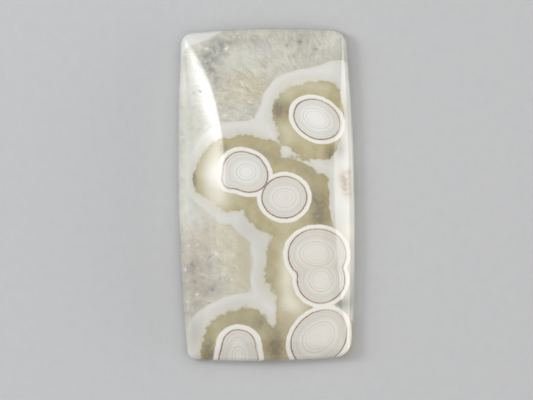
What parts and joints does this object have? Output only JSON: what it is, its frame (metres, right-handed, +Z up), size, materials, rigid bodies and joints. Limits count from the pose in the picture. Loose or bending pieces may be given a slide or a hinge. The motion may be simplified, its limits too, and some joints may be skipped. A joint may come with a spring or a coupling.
{
  "type": "orbicular agate cabochon",
  "caption": "Rectangular polished agate cabochon with a flat back, a domed face and banded eye markings, for a pendant or other jewellery setting.",
  "frame": {"origin": "centre of the flat back, on the surface that the stone lies on", "axes": "+Z up from the flat back to the top of the dome; +Y along the stone's long axis, towards the end that is uppermost in the picture; +X across the stone, to the right in the picture"},
  "size_m": [0.0212, 0.04, 0.006],
  "materials": {
    "polished_agate": "hand-cut agate polished to a gloss, white banded eyes in khaki moss with white chalcedony bands and grey crystalline quartz"
  },
  "bodies": {
    "root": {"agate_cabochon": "polished_agate"}
  },
  "joints": []
}
